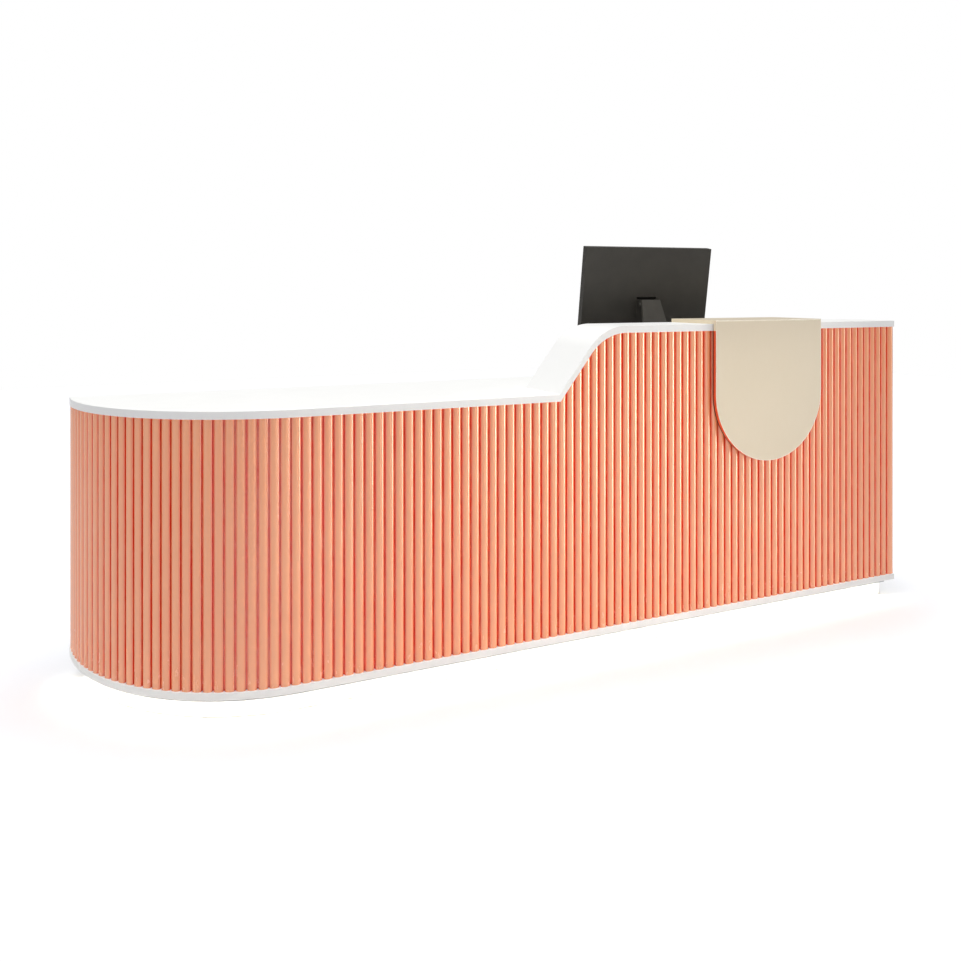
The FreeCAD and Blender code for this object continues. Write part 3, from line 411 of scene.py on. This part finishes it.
def metal(name, base, other, rough, stretch):
    """Brushed or drawn metal: streaks or grain, stains and bright edges."""
    paint = Paint(name)
    streak = paint.streaks(stretch, 4.0, 0.65)
    stain = paint.span(paint.noise(28.0, 5.0, 0.65), 0.45, 0.75)
    tone = paint.mix(paint.span(streak, 0.3, 0.7), base, other)
    tone = paint.touch(tone, other, stain, 0.2)
    tone = paint.touch(tone, BARE_METAL, paint.edges(0.001), 0.4)
    gloss = paint.raised(paint.span(streak, 0.3, 0.7, rough, rough + 0.14), stain, 0.08)
    normal = paint.bump(streak, 0.00004, 0.5)
    paint.set(Base_Color=tone, Roughness=gloss, Normal=normal, Metallic=1.0)
    return paint.material


def zinc_steel():
    """Zinc-plated steel with a faint crystal bloom."""
    paint = Paint("zinc_steel")
    tone = paint.mix(0.12, ZINC, paint.cells(160.0, "Color"))
    stain = paint.span(paint.noise(40.0, 5.0, 0.7), 0.45, 0.75)
    tone = paint.touch(tone, ZINC_STAIN, stain, 0.35)
    tone = paint.touch(tone, ZINC_BRIGHT, paint.edges(0.001), 0.35)
    gloss = paint.span(stain, 0.0, 1.0, 0.26, 0.42)
    normal = paint.bump(paint.noise(380.0, 3.0), 0.00004, 0.5)
    paint.set(Base_Color=tone, Roughness=gloss, Normal=normal, Metallic=1.0)
    return paint.material


def light_lens():
    """Opal cover of the light strip, brighter over each light source."""
    paint = Paint("light_lens")
    x, y = paint.xyz()[:2]
    turns = paint.math("MULTIPLY", paint.math("ADD", x, y), 2 * math.pi / LIGHT_SOURCE_PITCH)
    wave = paint.math("SINE", turns)
    ripple = paint.noise(60.0, 3.0)
    glow = paint.mix(paint.span(wave, -1.0, 1.0, 0.0, 0.5), WARM_GLOW, WARMER_GLOW)
    tone = paint.mix(paint.span(ripple, 0.3, 0.7, 0.0, 0.4), LENS_WHITE, LENS_RIPPLE)
    gloss = paint.span(ripple, 0.3, 0.7, 0.35, 0.5)
    normal = paint.bump(paint.noise(700.0, 2.0), 0.00005, 0.4)
    paint.set(Base_Color=tone, Roughness=gloss, Normal=normal)
    paint.set(Emission_Color=glow, Emission_Strength=LENS_STRENGTH)
    return paint.material


def screen_glass():
    """Dark display glass with faint wipe marks."""
    paint = Paint("screen_glass")
    wipe = paint.streaks((18.0, 18.0, 44.0))
    tone = paint.mix(paint.span(wipe, 0.4, 0.8, 0.0, 0.6), GLASS_BLACK, GLASS_WIPED)
    gloss = paint.span(wipe, 0.35, 0.8, 0.12, 0.3)
    normal = paint.bump(paint.noise(900.0, 2.0), 0.00001, 0.2)
    paint.set(Base_Color=tone, Roughness=gloss, Normal=normal, Coat_Weight=0.4, Coat_Roughness=0.15)
    return paint.material


def make_materials():
    """Every finish by its slot name, and the backing board's own one."""
    return {
        "slat_lacquer": lacquer("slat_lacquer").material,
        "backing_board": backing_board(),
        "solid_surface": solid_surface(),
        "white_laminate": white_laminate(),
        "beige_lacquer": beige_lacquer(),
        "rubber_pad": moulded("rubber_pad", colour(38, 38, 38), colour(52, 51, 50), 0.7, 500.0),
        "leg_plastic": moulded("leg_plastic", colour(30, 30, 31), colour(42, 42, 43), 0.5),
        "grommet_plastic": moulded("grommet_plastic", colour(205, 203, 199), colour(192, 190, 186), 0.42),
        "channel_aluminium": metal("channel_aluminium", colour(190, 192, 194), colour(168, 170, 173), 0.3,
                                   (6.0, 500.0, 500.0)),
        "light_lens": light_lens(),
        "brushed_steel": metal("brushed_steel", colour(196, 194, 190), colour(160, 158, 154), 0.22,
                               (380.0, 380.0, 380.0)),
        "zinc_steel": zinc_steel(),
        "drawer_steel": moulded("drawer_steel", colour(214, 214, 213), colour(202, 203, 203), 0.36, 900.0),
        "display_plastic": moulded("display_plastic", colour(54, 51, 46), colour(60, 57, 51), 0.5),
        "stand_metal": moulded("stand_metal", colour(75, 72, 66), colour(81, 78, 72), 0.45, 1000.0),
        "screen_glass": screen_glass(),
    }


def dress_nodes(materials):
    for name, node in NODES.items():
        for slot in node.material_slots:
            slot.material = materials[slot.name.split(".")[0]]
        if name in ("front_substrate", "corner_substrate"):
            node.material_slots[0].material = materials["backing_board"]


# ---------------------------------------------------------------- softened edges
CROWNED = ("slats_low", "slats_ramp", "slats_high", "slats_corner")     # rounded as they come
EDGE_WIDTH = {"worktop_low": 0.5, "ramp_cap": 0.3, "ledge_top": 0.5, "base_board": 1.5}
OTHER_EDGE_WIDTH = 0.8              # millimetres, as in the line above
WELD_DISTANCE = 0.01 * MM
FLAT_ANGLE = math.radians(0.5)      # faces that meet at less than this become one
SHARP_ANGLE = math.radians(35)      # edges that turn by more than this are softened


def soften_edges():
    for name, node in NODES.items():
        if name in CROWNED:
            continue
        weld = node.modifiers.new("weld", "WELD")
        weld.merge_threshold = WELD_DISTANCE
        planar = node.modifiers.new("planar", "DECIMATE")
        planar.decimate_type = "DISSOLVE"
        planar.angle_limit = FLAT_ANGLE
        bevel = node.modifiers.new("bevel", "BEVEL")
        bevel.width = EDGE_WIDTH.get(name, OTHER_EDGE_WIDTH) * MM
        bevel.segments = 2
        bevel.limit_method = "ANGLE"
        bevel.angle_limit = SHARP_ANGLE
        weighted = node.modifiers.new("weighted", "WEIGHTED_NORMAL")
        weighted.keep_sharp = False


# ---------------------------------------------------------------- pieces that the CAD leaves out
SHADOW_PLATE_INSET = 1.5 * MM             # the dark plate is smaller than the arch panel by this, all round
SHADOW_PLATE_CLEARANCE = 0.3 * MM         # to the panel and to the slats
ARC_STEPS = 48

# Small turned heads: the radius, the rise, and rings as shares of both, from the foot to the middle.
CAP = (8.5 * MM, 1.2 * MM, ((1.0, 0.0), (0.98, 0.55), (0.9, 0.85), (0.5, 1.0)))
SCREW = (3.2 * MM, 0.8 * MM, ((1.0, 0.0), (0.97, 0.45), (0.8, 0.85), (0.55, 1.0), (0.5, 0.45)))
HEAD_SIDES = 24

# Partition faces with caps: the piece, the way the face looks along X, and the fittings' heights.
CAPPED_FACES = (
    ("partition_1", -1, (0.13, 0.73)),
    ("partition_2", 1, (0.13, 0.73)),
    ("partition_3", -1, (0.13, 0.73)),
    ("partition_3", 1, (0.15, 0.6)),
    ("partition_4", -1, (0.15, 0.6)),
)
CAP_SHARES = (0.3, 0.72)            # of a partition's depth, from its customer side

HINGE_LEAF = 1.5 * MM               # the thickness of the leaves on the doors
LEAF_INSETS = (6.0 * MM, 16.0 * MM)     # of the screws, from the leaf's free edge
PLATE_INSETS = (8.0 * MM, 24.0 * MM)    # of the screws, from the plate's edge away from the door


def add_piece(name, mesh_data, materials, body, slot):
    """A mesh made of (vertices, faces) that rides on a body and takes a slot's finish."""
    mesh = bpy.data.meshes.new(name)
    mesh.from_pydata(mesh_data[0], [], mesh_data[1])
    mesh.update()
    piece = bpy.data.objects.new(name, mesh)
    bpy.context.scene.collection.objects.link(piece)
    mesh.materials.append(materials[slot])
    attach(piece, body)
    return piece


def slab(outline, near, far):
    """The vertices and faces of a plate with an (x, z) outline between two Y planes."""
    count = len(outline)
    vertices = [(x, near, z) for x, z in outline] + [(x, far, z) for x, z in outline]
    faces = [tuple(range(count)), tuple(range(2 * count - 1, count - 1, -1))]
    for i in range(count):
        j = (i + 1) % count
        faces.append((i, i + count, j + count, j))
    return vertices, faces


def make_arch_shadow_plate(materials):
    """A dark plate in the gap between the arch panel and the slats: a painted shadow line round the panel,
    standing in for the shade in that gap.
    """
    low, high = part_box("arch_front_panel")
    middle = (low.x + high.x) / 2
    radius = (high.x - low.x) / 2
    reach = radius - SHADOW_PLATE_INSET
    arc_z = low.z + radius
    top_z = RIM_UNDERSIDE - 1 * MM
    outline = [(middle + reach, top_z), (middle - reach, top_z)]
    for i in range(ARC_STEPS + 1):
        turn = math.pi * (1 + i / ARC_STEPS)
        outline.append((middle + reach * math.cos(turn), arc_z + reach * math.sin(turn)))
    plate = slab(outline, high.y + SHADOW_PLATE_CLEARANCE, SLAT_FACE_Y - SHADOW_PLATE_CLEARANCE)
    # a dark plate standing in for the shade in the gap: a painted shadow line
    add_piece("arch_shadow_plate", plate, materials, "counter", "rubber_pad")


def turned(spot, facing, head):
    """The vertices and faces of a small turned head on an upright face that looks along facing."""
    radius, rise, rings = head
    out = Vector(facing)
    across = UP.cross(out)
    vertices = []
    for share, height in rings:
        for i in range(HEAD_SIDES):
            turn = 2 * math.pi * i / HEAD_SIDES
            arm = radius * share * (across * math.cos(turn) + UP * math.sin(turn))
            vertices.append(Vector(spot) + arm + out * rise * height)
    faces = []
    for ring in range(len(rings) - 1):
        for i in range(HEAD_SIDES):
            a = ring * HEAD_SIDES + i
            b = ring * HEAD_SIDES + (i + 1) % HEAD_SIDES
            faces.append((a, b, b + HEAD_SIDES, a + HEAD_SIDES))
    faces.append(tuple((len(rings) - 1) * HEAD_SIDES + i for i in range(HEAD_SIDES)))
    return vertices, faces


def add_heads(name, spots, head, materials, body, slot):
    """One piece made of many equal heads; each of the spots is a place and the way its face looks."""
    vertices = []
    faces = []
    for spot, facing in spots:
        shift = len(vertices)
        head_vertices, head_faces = turned(spot, facing, head)
        vertices += head_vertices
        faces += [tuple(index + shift for index in face) for face in head_faces]
    piece = add_piece(name, (vertices, faces), materials, body, slot)
    for polygon in piece.data.polygons:
        polygon.use_smooth = len(polygon.vertices) == 4


def make_screw_caps(materials):
    """Snap-in caps over the joint fittings on the visible faces of the partitions."""
    spots = []
    for name, way, heights in CAPPED_FACES:
        low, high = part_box(name)
        x = high.x if way > 0 else low.x
        for z in heights:
            for share in CAP_SHARES:
                spots.append(((x, low.y + share * (high.y - low.y), z), (way, 0, 0)))
    add_heads("screw_caps", spots, CAP, materials, "counter", "grommet_plastic")


def make_hinge_screws(materials):
    """Raised-head screws: on the doors' leaves, and 4.5 mm clear of the plates on the partitions."""
    frame_low, frame_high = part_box("hinge_frames")
    plate_spots = []
    for side, way, body in (("left", -1, "door_l"), ("right", 1, "door_r")):
        low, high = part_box("door_hinges_" + side)
        half = (low.z - frame_low.z) / 2        # half the step from knuckle to knuckle
        free_x = high.x if way < 0 else low.x
        knuckle_x = frame_low.x if way < 0 else frame_high.x
        face_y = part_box("door_" + side)[1].y + HINGE_LEAF
        leaf_spots = []
        for z in (low.z + half, high.z - half):
            for inset in LEAF_INSETS:
                leaf_spots.append(((free_x + way * inset, face_y, z), (0, 1, 0)))
            for inset in PLATE_INSETS:
                for lift in (-2.0 * half, 2.0 * half):
                    plate_spots.append(((knuckle_x, frame_low.y + inset, z + lift), (way, 0, 0)))
        add_heads("hinge_screws_" + side, leaf_spots, SCREW, materials, body, "brushed_steel")
    add_heads("hinge_screws_frames", plate_spots, SCREW, materials, "counter", "brushed_steel")


# ---------------------------------------------------------------- floor and light
FLOOR_REACH = 9.0
FLOOR_TONE = colour(229, 230, 233)
FLOOR_CLOUD = colour(226, 227, 230)

SKY_SEEN = 1.0                      # the white surroundings as the camera sees them
SKY_LIGHT = 0.2                     # and as a light
OVERHEAD_LIGHT = 3.5
OVERHEAD_SIZE = math.radians(50)
FRONT_MIDDLE = (0.3, SLAT_FACE_Y, 0.55)
SHEEN_MIDDLE = (0.08, SLAT_FACE_Y, 0.5)
SOFTBOX_TINT = (1.0, 0.96, 0.88)
SIDE_TINT = (1.0, 0.95, 0.84)
GRID_TINT = (1.0, 0.95, 0.83)
GRID_SPREAD = 34.0                  # degrees
NO_GRID = 180.0                     # degrees
WHITE = (1.0, 1.0, 1.0)


def make_floor():
    mesh = bpy.data.meshes.new("floor")
    corners = [(x * FLOOR_REACH, y * FLOOR_REACH, 0) for x, y in ((-1, -1), (1, -1), (1, 1), (-1, 1))]
    mesh.from_pydata(corners, [], [(0, 1, 2, 3)])
    floor = bpy.data.objects.new("floor", mesh)
    bpy.context.scene.collection.objects.link(floor)
    paint = Paint("pale_floor")
    tone = paint.mix(paint.span(paint.noise(1.2, 4.0), 0.3, 0.7), FLOOR_TONE, FLOOR_CLOUD)
    gloss = paint.span(paint.noise(9.0, 3.0), 0.3, 0.7, 0.55, 0.65)
    paint.set(Base_Color=tone, Roughness=gloss, Specular_IOR_Level=0.0)
    mesh.materials.append(paint.material)


def area_light(name, place, target, size, radiance, tint=WHITE, spread=NO_GRID):
    """A softbox; a smaller spread puts a honeycomb grid on it, and its radiance is kept."""
    data = bpy.data.lights.new(name, "AREA")
    data.shape = "RECTANGLE"
    data.size, data.size_y = size
    data.energy = radiance * math.pi * size[0] * size[1]
    if spread < NO_GRID:
        data.spread = math.radians(spread)
        cut = data.spread / 2
        data.energy *= 1 - cut / math.tan(cut)
    data.color = tint
    light = bpy.data.objects.new(name, data)
    light.location = place
    aim = Vector(target) - Vector(place)
    light.rotation_euler = aim.to_track_quat("-Z", "Y").to_euler()
    light.visible_camera = False
    bpy.context.scene.collection.objects.link(light)


def make_world():
    """White behind the object, and a softer white for the light it gives."""
    world = bpy.data.worlds.new("studio")
    world.use_nodes = True
    tree = world.node_tree
    background = tree.nodes["Background"]
    background.inputs["Color"].default_value = (*WHITE, 1.0)
    seen = tree.nodes.new("ShaderNodeLightPath").outputs["Is Camera Ray"]
    strength = tree.nodes.new("ShaderNodeMapRange")
    tree.links.new(seen, strength.inputs["Value"])
    strength.inputs["To Min"].default_value = SKY_LIGHT
    strength.inputs["To Max"].default_value = SKY_SEEN
    tree.links.new(strength.outputs[0], background.inputs["Strength"])
    bpy.context.scene.world = world


def make_light():
    make_world()
    bpy.context.scene.view_settings.view_transform = "Standard"
    overhead = bpy.data.lights.new("overhead", "SUN")
    overhead.energy = OVERHEAD_LIGHT
    overhead.angle = OVERHEAD_SIZE
    sun = bpy.data.objects.new("overhead", overhead)
    bpy.context.scene.collection.objects.link(sun)
    area_light("front_softbox", (0.1, -1.9, 1.0), FRONT_MIDDLE, (0.4, 1.6), 1.6, SOFTBOX_TINT)
    area_light("side_strip", (20.8, -6.6, 2.8), FRONT_MIDDLE, (3.6, 6.8), 6.0, SIDE_TINT)
    area_light("gridded_strip", (1.65, -1.05, 0.53), SHEEN_MIDDLE, (0.7, 1.02), 21.0, GRID_TINT, GRID_SPREAD)
    area_light("left_fill", (-4.0, -1.2, 0.9), FRONT_MIDDLE, (1.6, 1.8), 0.3)


# ---------------------------------------------------------------- the scene
make_camera()
make_light()
make_floor()
MATERIALS = make_materials()
dress_nodes(MATERIALS)
soften_edges()
make_arch_shadow_plate(MATERIALS)
make_screw_caps(MATERIALS)
make_hinge_screws(MATERIALS)
